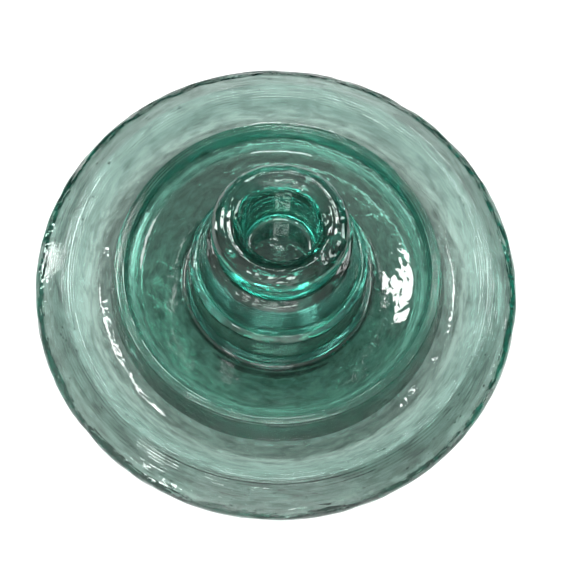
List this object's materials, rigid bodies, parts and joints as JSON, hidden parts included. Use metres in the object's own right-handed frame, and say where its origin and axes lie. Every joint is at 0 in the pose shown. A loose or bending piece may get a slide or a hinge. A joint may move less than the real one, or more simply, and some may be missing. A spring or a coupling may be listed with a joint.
{
  "type": "glass pin insulator",
  "caption": "Nested aqua glass shells of a multi-part pin insulator, standing on its crown with the blind pin hole facing up.",
  "frame": {"origin": "centre of the crown's flat face, on the common axis", "axes": "+Z along the axis, from the crown to the mouth of the pin hole; the shells are round, so X and Y are free"},
  "size_m": [0.254, 0.254, 0.1134],
  "materials": {
    "outer_glass": "fire-polished pressed glass, pale aqua, chilled rim",
    "middle_glass": "smooth pressed glass, aqua green",
    "centre_glass": "smooth pressed glass, aqua green",
    "sleeve_glass": "pressed glass, aqua green, wrinkled lip"
  },
  "bodies": {
    "outer": {"outer_shell": "outer_glass"},
    "middle": {"middle_shell": "middle_glass"},
    "centre": {"centre_shell": "centre_glass"},
    "sleeve": {"pin_sleeve": "sleeve_glass"}
  },
  "joints": [
    {"name": "middle_lift", "type": "slide", "parent": "outer", "child": "middle", "axis": [0, 0, 1], "range_m": [0, 0.06]},
    {"name": "centre_lift", "type": "slide", "parent": "middle", "child": "centre", "axis": [0, 0, 1], "range_m": [0, 0.05]},
    {"name": "sleeve_lift", "type": "slide", "parent": "centre", "child": "sleeve", "axis": [0, 0, 1], "range_m": [0, 0.05]}
  ]
}
